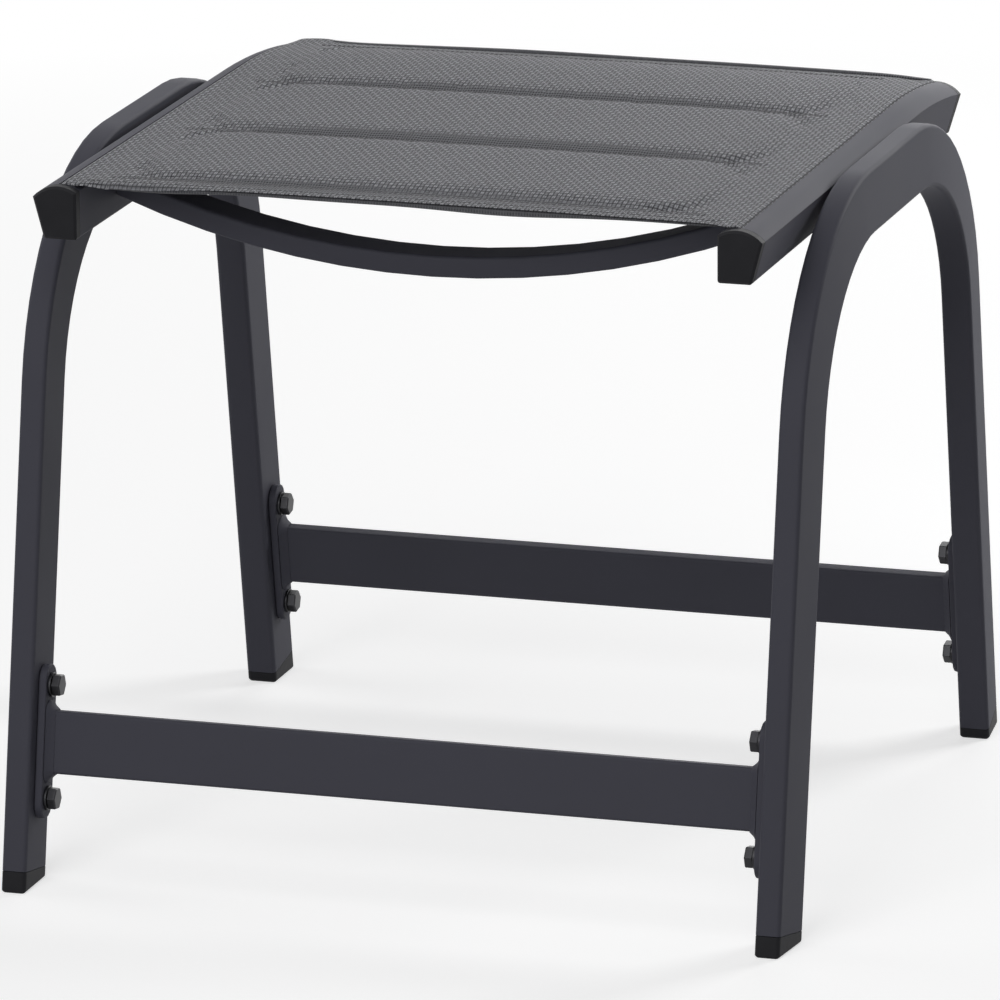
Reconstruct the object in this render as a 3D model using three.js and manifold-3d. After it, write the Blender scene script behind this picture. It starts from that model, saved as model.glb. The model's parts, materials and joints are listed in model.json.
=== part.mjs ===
// Outdoor footstool with two bent side frames and a padded fabric seat
// Units are millimetres, Z is up, and the origin is on the floor under the centre.
import * as THREE from 'three';
import { mergeVertices, toCreasedNormals } from 'three/addons/utils/BufferGeometryUtils.js';
import Module from 'manifold-3d';

const wasm = await Module();
wasm.setup();

// Overall size
const overallWidth = 517;
const overallDepth = 540;
const frameHeight = 451;

// Fits between neighbouring pieces
const fitGap = 0.3;
const weldTolerance = 0.001;

// Side frame tube, a trapezoid section with its flat face towards the stool's middle
const tubeDepth = 40;
const tubeOuterFace = 16;
const tubeInnerFace = 20.5;
const tubeCornerRadius = 3;
const tubeWall = 1.8;
const bendOuterRadius = 159;
const legSplay = THREE.MathUtils.degToRad(9.8);
const bendSteps = 13;
const cornerSteps = 3;
const hollowSteps = 1;
const cutterSides = 12;

// Foot cap, a black wedge with a level sole
const footCapOuterHeight = 14;
const footSoleRound = 1.4;
const footPlugLength = 24;
const footPlugTaper = 0.6;

// Lower stretcher, a flat tube that leans with the legs
const stretcherHeight = 91;
const stretcherWidth = 40;
const stretcherThickness = 10;
const stretcherCornerRadius = 2;
const stretcherWall = 1.6;

// End plate of a stretcher and its weld
const plateLength = 98;
const plateWidth = 20.5;
const plateThickness = 5;
const plateEndRadius = 9.6;
const plateBevel = 0.6;
const plateEndSteps = 4;
const weldEndReach = 6.5;
const weldSideReach = 4.6;
const weldHeight = 5.5;
const weldRipple = 0.45;
const weldHollowShare = 0.42;
const weldPitch = 2.6;
const weldCornerSteps = 2;

// Hex bolts that hold the end plates
const boltSpacing = 72;
const boltRadius = 4;
const boltHeadAcross = 13;
const boltHeadHeight = 5.3;
const boltChamfer = 0.7;
const boltReach = 11;
const boltSides = 10;
const washerRadius = 8;
const washerThickness = 1.6;
const washerSides = 14;

// Rivet nuts set in the side frame tube
const nutBarrelRadius = 5.6;
const nutFlangeRadius = 7;
const nutFlangeThickness = 0.9;
const nutBarrelLength = 12;
const nutSides = 10;

// Seat rail, an extrusion with a round top, a rod slot and one hollow chamber
const railBaseWidth = 21.5;
const railTopWidth = 28.5;
const railHeight = 33.5;
const railRise = 0.5;
const railSideGap = 3;
const railCrownRadius = 22;
const railSlotInset = 12.1;
const railSlotWidth = 3.2;
const railSlotLip = 2.1;
const railRodBoreRadius = 4.3;
const railWall = 1.8;
const railCornerRadius = 1.6;
const railHalfLength = 240;
const railBendStart = 120;
const railBendRadius = 700;
const railBendSteps = 6;
const railCrownSteps = 12;
const railBoreSteps = 12;

// Rail end cap, black, with a bevelled rim and a plug in the chamber
const railCapThickness = 8;
const railCapBevel = 1.5;
const railPlugLength = 16;
const railPlugGap = 0.5;

// Rail bolt and spacer between rail and side frame
const railBoltSpacing = 84;
const railBoltRadius = 3;
const railBoltHeadAcross = 10;
const railBoltHeadHeight = 4;
const railBoltReach = 9;
const spacerLength = 24;
const spacerHeight = 17;
const spacerCornerRadius = 2;

// Bowed cross bar under the seat
const bowWidth = 30;
const bowThickness = 14;
const bowCornerRadius = 2.5;
const bowWall = 1.6;
const bowRadius = 560;
const bowOffset = 150;
const bowEndRise = 11.7;
const bowSteps = 14;

// Seat fabric
const marginThickness = 1.9;
const marginRise = 0.35;
const slotClothThickness = 1.7;
const pocketThickness = 0.9;
const pocketRadius = 3.1;
const rodRadius = 1.8;
const rodSides = 10;
const padSideMargin = 30.6;
const padCrown = 4;
const padBelly = 8;
const seamThickness = 2.2;
const seatArch = 2;
const slotBendReach = 1.6;
const hemWidth = 4;

// Edges and seams of the padding, along the rails
const padFront = -212;
const frontSeam = -73;
const rearSeam = 69;
const padRear = 205;
const panelShares = [0, 0.09, 0.28, 0.5, 0.72, 0.91];
const padColumnShares = [0, 0.25, 0.5, 0.75, 0.92, 1];
const pocketAngles = [125, 195, 265, 335];

// Sizes that follow from the ones above
const sideFaceX = overallWidth / 2 - tubeInnerFace;
const bendRadius = bendOuterRadius - tubeDepth / 2;
const bendCentreZ = frameHeight - bendOuterRadius;
const bendTangent = bendOuterRadius * Math.tan((Math.PI / 2 - legSplay) / 2);
const bendCentreY = overallDepth / 2 - frameHeight * Math.tan(legSplay) - bendTangent;
const footCutHeight = footCapOuterHeight - (tubeDepth / 2) * Math.sin(legSplay);
const railOuterX = sideFaceX - railSideGap;
const railInnerX = railOuterX - railTopWidth;
const railTop = frameHeight + railRise;
const slotX = railInnerX + railSlotInset;
const padHalfWidth = slotX - padSideMargin;
const boreDrop = railSlotLip + railRodBoreRadius;
const chamberTop = -boreDrop - railRodBoreRadius - railWall;
const chamberFloor = -railHeight + railWall;
const railBoltDrop = (chamberTop + chamberFloor) / 2;
const fabricReach = railHalfLength - railCapThickness - 2 * fitGap;
const bowEndX = railInnerX - fitGap;
const bowBottomCentre = railTop - railHeight + bowEndRise - arcRise(bowRadius, bowEndX);

const frameColour = { color: 0x3a3d42, roughness: 0.5, metalness: 0.35 };
const blackPlastic = { color: 0x17181a, roughness: 0.55, metalness: 0 };
const fabricColour = { color: 0x6f7275, roughness: 0.95, metalness: 0 };
const steelColour = { color: 0x9a9c9f, roughness: 0.35, metalness: 0.9 };
const darkSteel = { color: 0x2c2e31, roughness: 0.4, metalness: 0.7 };
const rodColour = { color: 0xd8d8d4, roughness: 0.6, metalness: 0 };

// Rise of a circle's rim above its lowest point at a sideways distance
function arcRise(radius, sideways) {
  return radius - Math.sqrt(radius * radius - sideways * sideways);
}

// Unit vector that halves the corner, and half its angle
function cornerBisector(corners, index) {
  const corner = corners[index];
  const back = corners.at(index - 1).clone().sub(corner).normalize();
  const ahead = corners[(index + 1) % corners.length].clone().sub(corner).normalize();
  const bisector = back.clone().add(ahead).normalize();
  const half = Math.acos(THREE.MathUtils.clamp(back.dot(ahead), -1, 1)) / 2;
  return { back, ahead, bisector, half };
}

// Convex outline moved inwards by a distance
function inset(corners, distance) {
  return corners.map((corner, index) => {
    const { bisector, half } = cornerBisector(corners, index);
    return corner.clone().addScaledVector(bisector, distance / Math.sin(half));
  });
}

// Convex outline with every corner rounded by the same radius
function rounded(corners, radius, steps = cornerSteps) {
  return corners.flatMap((corner, index) => {
    const { back, ahead, bisector, half } = cornerBisector(corners, index);
    const centre = corner.clone().addScaledVector(bisector, radius / Math.sin(half));
    const reach = radius / Math.tan(half);
    const start = corner.clone().addScaledVector(back, reach).sub(centre);
    const end = corner.clone().addScaledVector(ahead, reach).sub(centre);
    const turn = Math.atan2(start.cross(end), start.dot(end));
    const arc = [];
    for (let k = 0; k <= steps; k += 1) {
      arc.push(start.clone().rotateAround(new THREE.Vector2(), (turn * k) / steps).add(centre));
    }
    return arc;
  });
}

// Closed outline with further points along its long edges
function subdivided(outline, pitch) {
  return outline.flatMap((point, index) => {
    const next = outline[(index + 1) % outline.length];
    const parts = Math.max(1, Math.round(point.distanceTo(next) / pitch));
    return Array.from({ length: parts }, (_, k) => point.clone().lerp(next, k / parts));
  });
}

// Four corners of a rectangle about the origin
function rectangle(width, height) {
  return [
    new THREE.Vector2(-width / 2, -height / 2),
    new THREE.Vector2(width / 2, -height / 2),
    new THREE.Vector2(width / 2, height / 2),
    new THREE.Vector2(-width / 2, height / 2),
  ];
}

// Geometry from corner triples, turned outside out by its signed volume
function solidFrom(triangles) {
  let volume = 0;
  for (const [a, b, c] of triangles) {
    volume += a.dot(b.clone().cross(c));
  }
  const ordered = volume < 0 ? triangles.map(([a, b, c]) => [a, c, b]) : triangles;
  const positions = ordered.flat().flatMap((point) => point.toArray());
  const geometry = new THREE.BufferGeometry();
  geometry.setAttribute('position', new THREE.Float32BufferAttribute(positions, 3));
  return geometry;
}

// Two triangles for a quad
function quad(a, b, c, d) {
  return [[a, b, c], [a, c, d]];
}

// Solid of a flat outline with holes, carried through a list of placing functions
function sweep(outline, holes, places) {
  const contours = [outline, ...holes].map((points, index) => {
    const clockwise = THREE.ShapeUtils.isClockWise(points);
    return clockwise === (index > 0) ? points : [...points].reverse();
  });
  const flat = contours.flat();
  const rings = places.map((place) => flat.map((point) => place(point)));
  const triangles = [];
  let start = 0;
  for (const contour of contours) {
    for (let i = 0; i < contour.length; i += 1) {
      const a = start + i;
      const b = start + ((i + 1) % contour.length);
      for (let k = 0; k + 1 < rings.length; k += 1) {
        triangles.push(...quad(rings[k][a], rings[k][b], rings[k + 1][b], rings[k + 1][a]));
      }
    }
    start += contour.length;
  }
  const first = rings[0];
  const last = rings.at(-1);
  for (const [i, j, k] of THREE.ShapeUtils.triangulateShape(contours[0], contours.slice(1))) {
    const turn = flat[j].clone().sub(flat[i]).cross(flat[k].clone().sub(flat[i]));
    const [p, q] = turn > 0 ? [j, k] : [k, j];
    triangles.push([last[i], last[p], last[q]], [first[i], first[q], first[p]]);
  }
  return solidFrom(triangles);
}

// Solid between matching rings of points, closed by ladders across its first and last ring
function skin(rings) {
  const triangles = [];
  const count = rings[0].length;
  for (let k = 0; k + 1 < rings.length; k += 1) {
    for (let i = 0; i < count; i += 1) {
      const j = (i + 1) % count;
      triangles.push(...quad(rings[k][i], rings[k][j], rings[k + 1][j], rings[k + 1][i]));
    }
  }
  const first = rings[0];
  const last = rings.at(-1);
  for (let i = 0; i + 1 < count / 2; i += 1) {
    const j = count - 1 - i;
    triangles.push(...quad(first[j], first[j - 1], first[i + 1], first[i]));
    triangles.push(...quad(last[i], last[i + 1], last[j - 1], last[j]));
  }
  return solidFrom(triangles);
}

// Ring shaped solid between matching loops of points
function ringSkin(loops) {
  const triangles = [];
  const count = loops[0].length;
  loops.forEach((loop, index) => {
    const next = loops[(index + 1) % loops.length];
    for (let i = 0; i < count; i += 1) {
      const j = (i + 1) % count;
      triangles.push(...quad(loop[i], loop[j], next[j], next[i]));
    }
  });
  return solidFrom(triangles);
}

// Turned solid about the Z axis from radius and height pairs
function turned(pairs, sides) {
  const geometry = new THREE.LatheGeometry(pairs.map(([r, h]) => new THREE.Vector2(r, h)), sides);
  return geometry.rotateX(Math.PI / 2);
}

// Exact solid for cutting and joining
function exact(geometry) {
  const bare = new THREE.BufferGeometry();
  bare.setAttribute('position', geometry.getAttribute('position'));
  bare.setIndex(geometry.index);
  const welded = mergeVertices(bare, weldTolerance);
  const vertProperties = new Float32Array(welded.getAttribute('position').array);
  const triVerts = new Uint32Array(welded.index.array);
  return new wasm.Manifold(new wasm.Mesh({ numProp: 3, vertProperties, triVerts }));
}

// Geometry from an exact solid
function fromExact(manifold) {
  const mesh = manifold.getMesh();
  const geometry = new THREE.BufferGeometry();
  geometry.setAttribute('position', new THREE.Float32BufferAttribute(mesh.vertProperties, 3));
  geometry.setIndex([...mesh.triVerts]);
  return geometry;
}

function cut(geometry, cutters) {
  let result = exact(geometry);
  for (const cutter of cutters) {
    result = result.subtract(exact(cutter));
  }
  return fromExact(result);
}

function join(first, second) {
  return fromExact(exact(first).add(exact(second)));
}

// Round cutter along X, centred on a point
function crossCutter(radius, length, x, y, z) {
  const cutter = new THREE.CylinderGeometry(radius, radius, length, cutterSides);
  return cutter.rotateZ(Math.PI / 2).translate(x, y, z);
}

// Side frame section, with x outwards in the bend's plane and y away from the flat face
function frameCorners() {
  return [
    new THREE.Vector2(-tubeDepth / 2, 0),
    new THREE.Vector2(tubeDepth / 2, 0),
    new THREE.Vector2(tubeDepth / 2, tubeOuterFace),
    new THREE.Vector2(-tubeDepth / 2, tubeInnerFace),
  ];
}

// Point of a leg at a height of its centreline, as depth and height
function legCentre(height) {
  const outerFaceY = overallDepth / 2 - height * Math.tan(legSplay);
  return { y: outerFaceY - tubeDepth / 2 / Math.cos(legSplay), z: height };
}

// Placing functions along the side frame from its front foot to its rear foot
function framePlaces(side) {
  const rear = [];
  for (let k = 0; k <= bendSteps; k += 1) {
    const angle = THREE.MathUtils.lerp(Math.PI / 2, legSplay, k / bendSteps);
    const y = bendCentreY + bendRadius * Math.cos(angle);
    const z = bendCentreZ + bendRadius * Math.sin(angle);
    rear.push({ y, z, angle });
  }
  rear.push({ ...legCentre(footCutHeight), angle: legSplay });
  const front = rear.map(({ y, z, angle }) => ({ y: -y, z, angle: Math.PI - angle })).reverse();
  return [...front, ...rear].map(({ y, z, angle }) => (point) => new THREE.Vector3(
    side * (sideFaceX + point.y),
    y + point.x * Math.cos(angle),
    z + point.x * Math.sin(angle),
  ));
}

// Frame of a stretcher joint, with x up the leg and z towards the stool's middle
function jointPlace(side, end) {
  const inward = new THREE.Vector3(-side, 0, 0);
  const upLeg = new THREE.Vector3(0, -end * Math.sin(legSplay), Math.cos(legSplay));
  const across = inward.clone().cross(upLeg);
  const place = new THREE.Matrix4().makeBasis(upLeg, across, inward);
  return place.setPosition(side * sideFaceX, end * legCentre(stretcherHeight).y, stretcherHeight);
}

// Depths and heights of the bolts through one side frame
function frameBoltPoints() {
  const points = [];
  for (const end of [-1, 1]) {
    for (const up of [-1, 1]) {
      const point = new THREE.Vector3((up * boltSpacing) / 2, 0, 0).applyMatrix4(jointPlace(1, end));
      points.push({ y: point.y, z: point.z, radius: nutBarrelRadius + fitGap });
    }
    const z = railTop + railBoltDrop;
    points.push({ y: (end * railBoltSpacing) / 2, z, radius: railBoltRadius + fitGap });
  }
  return points;
}

function sideFrame(side) {
  const outer = rounded(frameCorners(), tubeCornerRadius);
  const hollow = rounded(inset(frameCorners(), tubeWall), tubeCornerRadius - tubeWall, hollowSteps);
  const tube = sweep(outer, [hollow], framePlaces(side));
  const cutters = frameBoltPoints().map(({ y, z, radius }) => (
    crossCutter(radius, 3 * tubeWall, side * sideFaceX, y, z)));
  return cut(tube, cutters);
}

function footCap(side, end) {
  const centre = legCentre(footCutHeight);
  const outer = rounded(frameCorners(), tubeCornerRadius);
  const sole = rounded(inset(frameCorners(), footSoleRound), tubeCornerRadius - footSoleRound);
  const plugCorners = inset(frameCorners(), tubeWall + fitGap);
  const plug = rounded(plugCorners, tubeCornerRadius - tubeWall);
  const tip = rounded(inset(plugCorners, footPlugTaper), footPlugTaper);
  const atCut = (points, upLeg) => points.map((point) => new THREE.Vector3(
    side * (sideFaceX + point.y),
    end * (centre.y + point.x * Math.cos(legSplay) - upLeg * Math.sin(legSplay)),
    centre.z + point.x * Math.sin(legSplay) + upLeg * Math.cos(legSplay),
  ));
  const atHeight = (points, height) => atCut(points, 0).map((corner) => {
    const drop = corner.z - height;
    return new THREE.Vector3(corner.x, corner.y + end * drop * Math.tan(legSplay), height);
  });
  return skin([
    atHeight(sole, 0),
    atHeight(outer, footSoleRound),
    atCut(outer, -fitGap),
    atCut(plug, -fitGap),
    atCut(plug, footPlugLength - footPlugTaper),
    atCut(tip, footPlugLength),
  ]);
}

function stretcher(end) {
  const corners = rectangle(stretcherWidth, stretcherThickness);
  const outer = rounded(corners, stretcherCornerRadius);
  const hollow = inset(corners, stretcherWall);
  const halfLength = sideFaceX - plateThickness - 2 * fitGap;
  const { y, z } = legCentre(stretcherHeight);
  const places = [-halfLength, halfLength].map((x) => (point) => new THREE.Vector3(
    x,
    end * (y - point.x * Math.sin(legSplay) + point.y * Math.cos(legSplay)),
    z + point.x * Math.cos(legSplay) + point.y * Math.sin(legSplay),
  ));
  return sweep(outer, [hollow], places);
}

function stretcherPlate(side, end) {
  const corners = rectangle(plateLength, plateWidth);
  const ring = (distance, height) => rounded(
    inset(corners, distance), plateEndRadius - distance, plateEndSteps,
  ).map((point) => new THREE.Vector3(point.x, point.y, height));
  const back = fitGap;
  const front = fitGap + plateThickness;
  const plate = skin([
    ring(plateBevel, back),
    ring(0, back + plateBevel),
    ring(0, front - plateBevel),
    ring(plateBevel, front),
  ]);
  const cutters = [-1, 1].flatMap((up) => [
    turned([[0, 0], [boltRadius + fitGap, 0], [boltRadius + fitGap, 2 * front], [0, 2 * front]], cutterSides),
    turned([
      [0, -back],
      [nutFlangeRadius + fitGap, -back],
      [nutFlangeRadius + fitGap, nutFlangeThickness + 2 * fitGap],
      [0, nutFlangeThickness + 2 * fitGap],
    ], cutterSides),
  ].map((cutter) => cutter.translate((up * boltSpacing) / 2, 0, 0)));
  return cut(plate, cutters).applyMatrix4(jointPlace(side, end));
}

// Fillet weld round the stretcher, with the even ripples of a laid bead
function weldBead(side, end) {
  const corners = rectangle(stretcherWidth + 2 * fitGap, stretcherThickness + 2 * fitGap);
  const root = subdivided(rounded(corners, stretcherCornerRadius + fitGap, weldCornerSteps), weldPitch);
  const floor = plateThickness + 2 * fitGap;
  const loops = [[0, 0], [1, 0], [weldHollowShare, weldHollowShare], [0, 1]].map(([out, up]) => (
    root.map((point, index) => {
      const before = root.at(index - 1);
      const after = root[(index + 1) % root.length];
      const normal = new THREE.Vector2(after.y - before.y, before.x - after.x).normalize();
      const ripple = (index % 2) * weldRipple;
      const reach = THREE.MathUtils.lerp(weldSideReach, weldEndReach, Math.abs(normal.x)) - ripple;
      const spot = point.clone().addScaledVector(normal, out * reach);
      return new THREE.Vector3(spot.x, spot.y, floor + up * (weldHeight - ripple));
    })));
  return ringSkin(loops).applyMatrix4(jointPlace(side, end));
}

// Hex bolt with its head standing on z = 0 and its shank below
function hexBolt(across, headHeight, radius, length) {
  const corner = across / Math.sqrt(3);
  const top = corner - boltChamfer;
  const head = turned([
    [0, 0],
    [corner, 0],
    [corner, headHeight - boltChamfer],
    [top, headHeight],
    [0, headHeight],
  ], 6);
  const tip = radius - boltChamfer;
  const shank = turned([
    [0, -length],
    [tip, -length],
    [radius, -length + boltChamfer],
    [radius, headHeight / 2],
    [0, headHeight / 2],
  ], boltSides);
  return join(head, shank);
}

function plateBolt(side, end, up) {
  const seat = plateThickness + washerThickness + 3 * fitGap;
  const bolt = hexBolt(boltHeadAcross, boltHeadHeight, boltRadius, seat + boltReach);
  bolt.translate((up * boltSpacing) / 2, 0, seat);
  return bolt.applyMatrix4(jointPlace(side, end));
}

function plateWasher(side, end, up) {
  const low = plateThickness + 2 * fitGap;
  const high = low + washerThickness;
  const bore = boltRadius + fitGap;
  const washer = turned([
    [bore, low],
    [washerRadius, low],
    [washerRadius, high],
    [bore, high],
    [bore, low],
  ], washerSides);
  washer.translate((up * boltSpacing) / 2, 0, 0);
  return washer.applyMatrix4(jointPlace(side, end));
}

// Rivet nut with its flange on z = 0 and its barrel below
function rivetNut(boreRadius, barrelRadius, flangeRadius, length) {
  return turned([
    [boreRadius, -length],
    [barrelRadius, -length],
    [barrelRadius, 0],
    [flangeRadius, 0],
    [flangeRadius, nutFlangeThickness],
    [boreRadius, nutFlangeThickness],
    [boreRadius, -length],
  ], nutSides);
}

function legNut(side, end, up) {
  const nut = rivetNut(boltRadius + fitGap, nutBarrelRadius, nutFlangeRadius, nutBarrelLength);
  nut.translate((up * boltSpacing) / 2, 0, fitGap);
  return nut.applyMatrix4(jointPlace(side, end));
}

// Rail section, with x from the stool's middle and y from the rail's top
function railOutline() {
  const crown = (x) => -arcRise(railCrownRadius, x - slotX);
  const base = [
    new THREE.Vector2(railInnerX, -railHeight),
    new THREE.Vector2(railInnerX + railBaseWidth, -railHeight),
  ];
  const points = [];
  for (let k = 0; k <= railCrownSteps; k += 1) {
    const x = THREE.MathUtils.lerp(railOuterX, railInnerX, k / railCrownSteps);
    points.push(new THREE.Vector2(x, crown(x)));
  }
  const softened = rounded([...base, points[0], points.at(-1)], railCornerRadius);
  return [...softened.slice(0, 2 * (cornerSteps + 1)), ...points];
}

// Rail outline opened by the rod slot
function slottedOutline() {
  const outline = railOutline();
  const half = railSlotWidth / 2;
  const beyond = outline.filter((point) => point.y < -railHeight / 2 || point.x > slotX + half);
  const within = outline.filter((point) => point.y > -railHeight / 2 && point.x < slotX - half);
  const lipDrop = -arcRise(railCrownRadius, half);
  const open = Math.asin(half / railRodBoreRadius);
  const bore = [];
  for (let k = 0; k <= railBoreSteps; k += 1) {
    const angle = THREE.MathUtils.lerp(open, 2 * Math.PI - open, k / railBoreSteps);
    const x = slotX + railRodBoreRadius * Math.sin(angle);
    bore.push(new THREE.Vector2(x, -boreDrop + railRodBoreRadius * Math.cos(angle)));
  }
  return [
    ...beyond,
    new THREE.Vector2(slotX + half, lipDrop),
    ...bore,
    new THREE.Vector2(slotX - half, lipDrop),
    ...within,
  ];
}

// Chamber of the rail, drawn in by a further gap for the plug
function chamberCorners(gap) {
  const lean = (railTopWidth - railBaseWidth) / (railHeight - arcRise(railCrownRadius, railOuterX - slotX));
  const outerX = (height) => railInnerX + railBaseWidth + (height + railHeight) * lean - railWall - gap;
  return [
    new THREE.Vector2(railInnerX + railWall + gap, chamberFloor + gap),
    new THREE.Vector2(outerX(chamberFloor + gap), chamberFloor + gap),
    new THREE.Vector2(outerX(chamberTop - gap), chamberTop - gap),
    new THREE.Vector2(railInnerX + railWall + gap, chamberTop - gap),
  ];
}

// Point of the rail at a distance along it, straight in front and bent down at the rear
function railPoint(side, along, x, drop) {
  if (along <= railBendStart) {
    return new THREE.Vector3(side * x, along, railTop + drop);
  }
  const angle = (along - railBendStart) / railBendRadius;
  const radius = railBendRadius + drop;
  const z = railTop - railBendRadius + radius * Math.cos(angle);
  return new THREE.Vector3(side * x, railBendStart + radius * Math.sin(angle), z);
}

// Distances along the rail that follow its bend
function railSteps(from, to) {
  const steps = [from, railBendStart];
  for (let k = 1; k <= railBendSteps; k += 1) {
    steps.push(THREE.MathUtils.lerp(railBendStart, to, k / railBendSteps));
  }
  return steps;
}

function seatRail(side) {
  const reach = railHalfLength - railCapThickness - fitGap;
  const places = railSteps(-reach, reach).map((along) => (point) => railPoint(side, along, point.x, point.y));
  const rail = sweep(slottedOutline(), [chamberCorners(0)], places);
  const cutters = [-1, 1].map((end) => crossCutter(
    railBoltRadius + fitGap, 2 * railTopWidth,
    side * railOuterX, (end * railBoltSpacing) / 2, railTop + railBoltDrop,
  ));
  return cut(rail, cutters);
}

function railEndCap(side, end) {
  const outline = railOutline();
  const face = end * railHalfLength;
  const ring = (points, depth) => points.map((point) => (
    railPoint(side, face - end * depth, point.x, point.y)));
  const flange = skin([
    ring(inset(outline, railCapBevel), 0),
    ring(outline, railCapBevel),
    ring(outline, railCapThickness),
  ]);
  const plug = skin([
    ring(chamberCorners(railPlugGap), railCapThickness / 2),
    ring(chamberCorners(railPlugGap), railCapThickness + railPlugLength),
  ]);
  return join(flange, plug);
}

// Wedge between the rail's leaning face and the side frame
function railSpacer(side, end) {
  const middle = railTop + railBoltDrop;
  const corners = rectangle(spacerLength, spacerHeight);
  const lean = chamberCorners(0);
  const slope = (lean[2].x - lean[1].x) / (lean[2].y - lean[1].y);
  const outline = rounded(corners, spacerCornerRadius);
  const railFaceX = (height) => lean[1].x + railWall + (railBoltDrop + height - lean[1].y) * slope + fitGap;
  const depth = (end * railBoltSpacing) / 2;
  const wedge = skin([
    outline.map((point) => new THREE.Vector3(side * railFaceX(point.y), depth + point.x, middle + point.y)),
    outline.map((point) => new THREE.Vector3(side * (sideFaceX - fitGap), depth + point.x, middle + point.y)),
  ]);
  const bore = crossCutter(railBoltRadius + fitGap, 2 * railTopWidth, side * railOuterX, depth, middle);
  return cut(wedge, [bore]);
}

// Frame of a rail bolt, with z towards the stool's middle
function railBoltPlace(side, end, x) {
  const place = new THREE.Matrix4().makeRotationY((-side * Math.PI) / 2);
  return place.setPosition(side * x, (end * railBoltSpacing) / 2, railTop + railBoltDrop);
}

function railBolt(side, end) {
  const length = sideFaceX - railInnerX + railBoltReach;
  const bolt = hexBolt(railBoltHeadAcross, railBoltHeadHeight, railBoltRadius, length);
  return bolt.applyMatrix4(railBoltPlace(side, end, railInnerX - fitGap));
}

// Bowed bar, lowest in the middle, with ends cut upright against the rails
function bowBar(end) {
  const corners = rectangle(bowWidth, bowThickness);
  const outer = rounded(corners, bowCornerRadius);
  const hollow = rounded(inset(corners, bowWall), bowCornerRadius - bowWall, hollowSteps);
  const centreZ = bowBottomCentre + bowRadius;
  const places = [];
  for (let k = 0; k <= bowSteps; k += 1) {
    const share = (2 * k) / bowSteps - 1;
    places.push((point) => {
      const radius = bowRadius - bowThickness / 2 - point.y;
      const x = share * bowEndX;
      const z = centreZ - Math.sqrt(radius * radius - x * x);
      return new THREE.Vector3(x, end * bowOffset + point.x, z);
    });
  }
  return sweep(outer, [hollow], places);
}

function kederRod(side) {
  const outline = [];
  for (let k = 0; k < rodSides; k += 1) {
    const angle = (2 * Math.PI * k) / rodSides;
    const spot = new THREE.Vector2(Math.cos(angle), Math.sin(angle)).multiplyScalar(rodRadius);
    outline.push(spot.add(new THREE.Vector2(slotX, -boreDrop)));
  }
  const places = railSteps(-fabricReach, fabricReach).map((along) => (
    (point) => railPoint(side, along, point.x, point.y)));
  return sweep(outline, [], places);
}

// Columns of the fabric's right half, from the middle to the rod pocket
function fabricColumns() {
  const rise = marginRise + marginThickness / 2;
  const overCrown = (x) => rise - arcRise(railCrownRadius, slotX - x);
  const columns = padColumnShares.map((share) => (
    { x: share * padHalfWidth, drop: rise / 2, turn: 0, pad: share, half: marginThickness / 2 }));
  const lip = railInnerX + railSlotInset / 2;
  const bend = slotX - slotBendReach;
  const mouth = -arcRise(railCrownRadius, railSlotWidth);
  columns.push(
    { x: lip, drop: overCrown(lip), turn: 0, half: marginThickness / 2 },
    { x: bend, drop: overCrown(bend), turn: -Math.PI / 8, half: marginThickness / 2 },
    { x: slotX, drop: mouth, turn: -Math.PI / 2, half: slotClothThickness / 2 },
    { x: slotX, drop: -railSlotLip, turn: -Math.PI / 2, half: slotClothThickness / 2 },
  );
  for (const degrees of pocketAngles) {
    const angle = THREE.MathUtils.degToRad(degrees);
    columns.push({
      x: slotX + pocketRadius * Math.cos(angle),
      drop: -boreDrop + pocketRadius * Math.sin(angle),
      turn: angle + Math.PI / 2,
      half: pocketThickness / 2,
    });
  }
  return columns;
}

// Rows of the fabric from the front hem to the rear hem
function fabricRows() {
  const edges = [padFront, frontSeam, rearSeam, padRear];
  const flat = (along) => ({ along, panel: null });
  const rows = [flat(-fabricReach), flat(-fabricReach + hemWidth)];
  for (let panel = 0; panel + 1 < edges.length; panel += 1) {
    for (const share of panelShares) {
      rows.push({
        along: THREE.MathUtils.lerp(edges[panel], edges[panel + 1], share),
        panel: share,
      });
    }
  }
  rows.push({ along: padRear, panel: 0 }, flat(fabricReach - hemWidth), flat(fabricReach));
  return rows;
}

// Fullness of a panel, none at its edges and whole in the middle
function fullness(share) {
  const across = Math.abs(2 * share - 1);
  return Math.sqrt(1 - across ** 4);
}

function paddedSling() {
  const right = fabricColumns();
  const left = right.slice(1).map((column) => ({ ...column, mirrored: true })).reverse();
  const columns = [...left, ...right];
  const rings = fabricRows().map((row) => {
    const upper = [];
    const lower = [];
    for (const column of columns) {
      const sideways = Math.min(column.x / slotX, 1);
      const inPad = column.pad !== undefined && row.panel !== null;
      const puff = inPad ? fullness(row.panel) * fullness((1 + column.pad) / 2) : 0;
      const inSeam = inPad && column.pad < 1;
      const half = inSeam ? seamThickness / 2 : column.half;
      const arch = seatArch * (1 - sideways ** 2);
      const place = (offset) => railPoint(
        column.mirrored ? -1 : 1, row.along,
        column.x - offset * Math.sin(column.turn),
        column.drop + arch + offset * Math.cos(column.turn),
      );
      upper.push(place(half + puff * padCrown));
      lower.push(place(-half - puff * padBelly));
    }
    return [...upper, ...lower.reverse()];
  });
  return skin(rings);
}

// Named mesh with its own material
function piece(name, geometry, look) {
  const bare = new THREE.BufferGeometry();
  bare.setAttribute('position', geometry.getAttribute('position'));
  bare.setIndex(geometry.index);
  const creased = toCreasedNormals(bare.index ? bare.toNonIndexed() : bare, Math.PI / 6);
  const mesh = new THREE.Mesh(creased, new THREE.MeshStandardMaterial(look));
  mesh.name = name;
  return mesh;
}

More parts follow.
